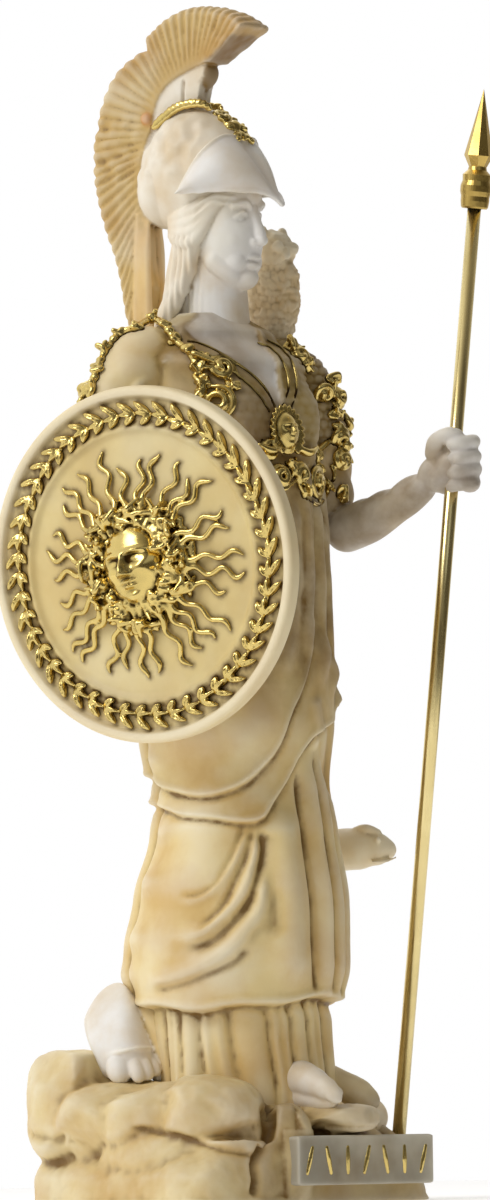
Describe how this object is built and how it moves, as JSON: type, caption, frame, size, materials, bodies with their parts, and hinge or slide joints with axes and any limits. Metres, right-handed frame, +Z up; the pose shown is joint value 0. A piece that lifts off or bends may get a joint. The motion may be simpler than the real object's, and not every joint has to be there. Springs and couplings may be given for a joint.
{
  "type": "athena statue",
  "caption": "Standing armed goddess figurine with crested helmet, round shield, spear, owl and serpent on a rock base with a plaque.",
  "frame": {"origin": "on the underside of the rock base, below the figure's middle", "axes": "+Z up, the figure and the name plaque face -Y, the shield is at -X and the spear at +X"},
  "size_m": [0.0972, 0.0926, 0.3003],
  "materials": {
    "cast_stone": "matt ivory cast stone with brown patina in its hollows",
    "shield_stone": "satin cream cast stone",
    "brass_rod": "polished",
    "gold_cast": "gold paint, glossy",
    "gold_paint": "gold paint over raised relief"
  },
  "bodies": {
    "root": {"statue": "cast_stone", "shield": "shield_stone", "spear_shaft": "brass_rod", "spear_head": "gold_cast"}
  },
  "joints": []
}
